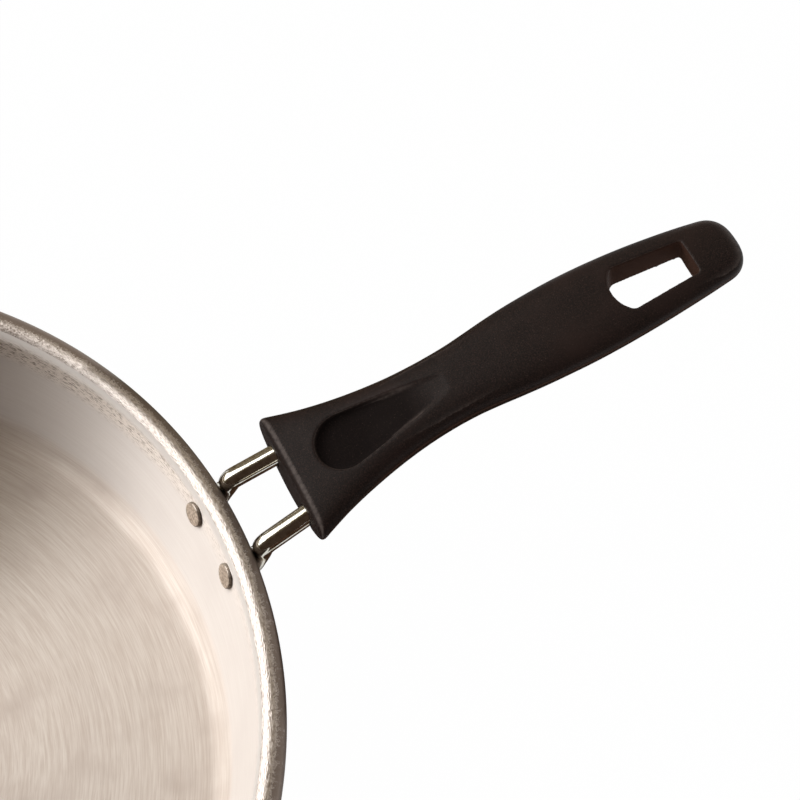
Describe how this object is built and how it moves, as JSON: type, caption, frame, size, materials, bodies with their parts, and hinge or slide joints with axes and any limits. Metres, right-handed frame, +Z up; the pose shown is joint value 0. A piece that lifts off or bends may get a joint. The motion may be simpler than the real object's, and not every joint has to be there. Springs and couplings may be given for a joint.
{
  "type": "omelette pan",
  "caption": "Shallow round aluminium omelette pan with a flared side, a thick beaded rim and a black moulded handle held on chromed steel rods.",
  "frame": {"origin": "centre of the pan's flat underside, the face that it rests on", "axes": "+Z up out of the pan, +X from the pan's axis towards the handle's end, +Y to the left seen from the pan"},
  "size_m": [0.4344, 0.28, 0.0826],
  "materials": {
    "pan_aluminium": "cast, turned and worn satin",
    "rivet_aluminium": "dull pressed",
    "chromed_steel": "polished chrome plate",
    "phenolic": "moulded, matt with worn edges",
    "brass": "turned",
    "zinc_plated_steel": "bright zinc plate"
  },
  "bodies": {
    "root": {"pan_body": "pan_aluminium", "rod_left": "chromed_steel", "rod_right": "chromed_steel", "rivet_left": "rivet_aluminium", "rivet_right": "rivet_aluminium", "handle": "phenolic", "threaded_insert": "brass", "clamp_plate": "zinc_plated_steel", "spring_washer": "zinc_plated_steel", "clamp_screw": "zinc_plated_steel"}
  },
  "joints": []
}
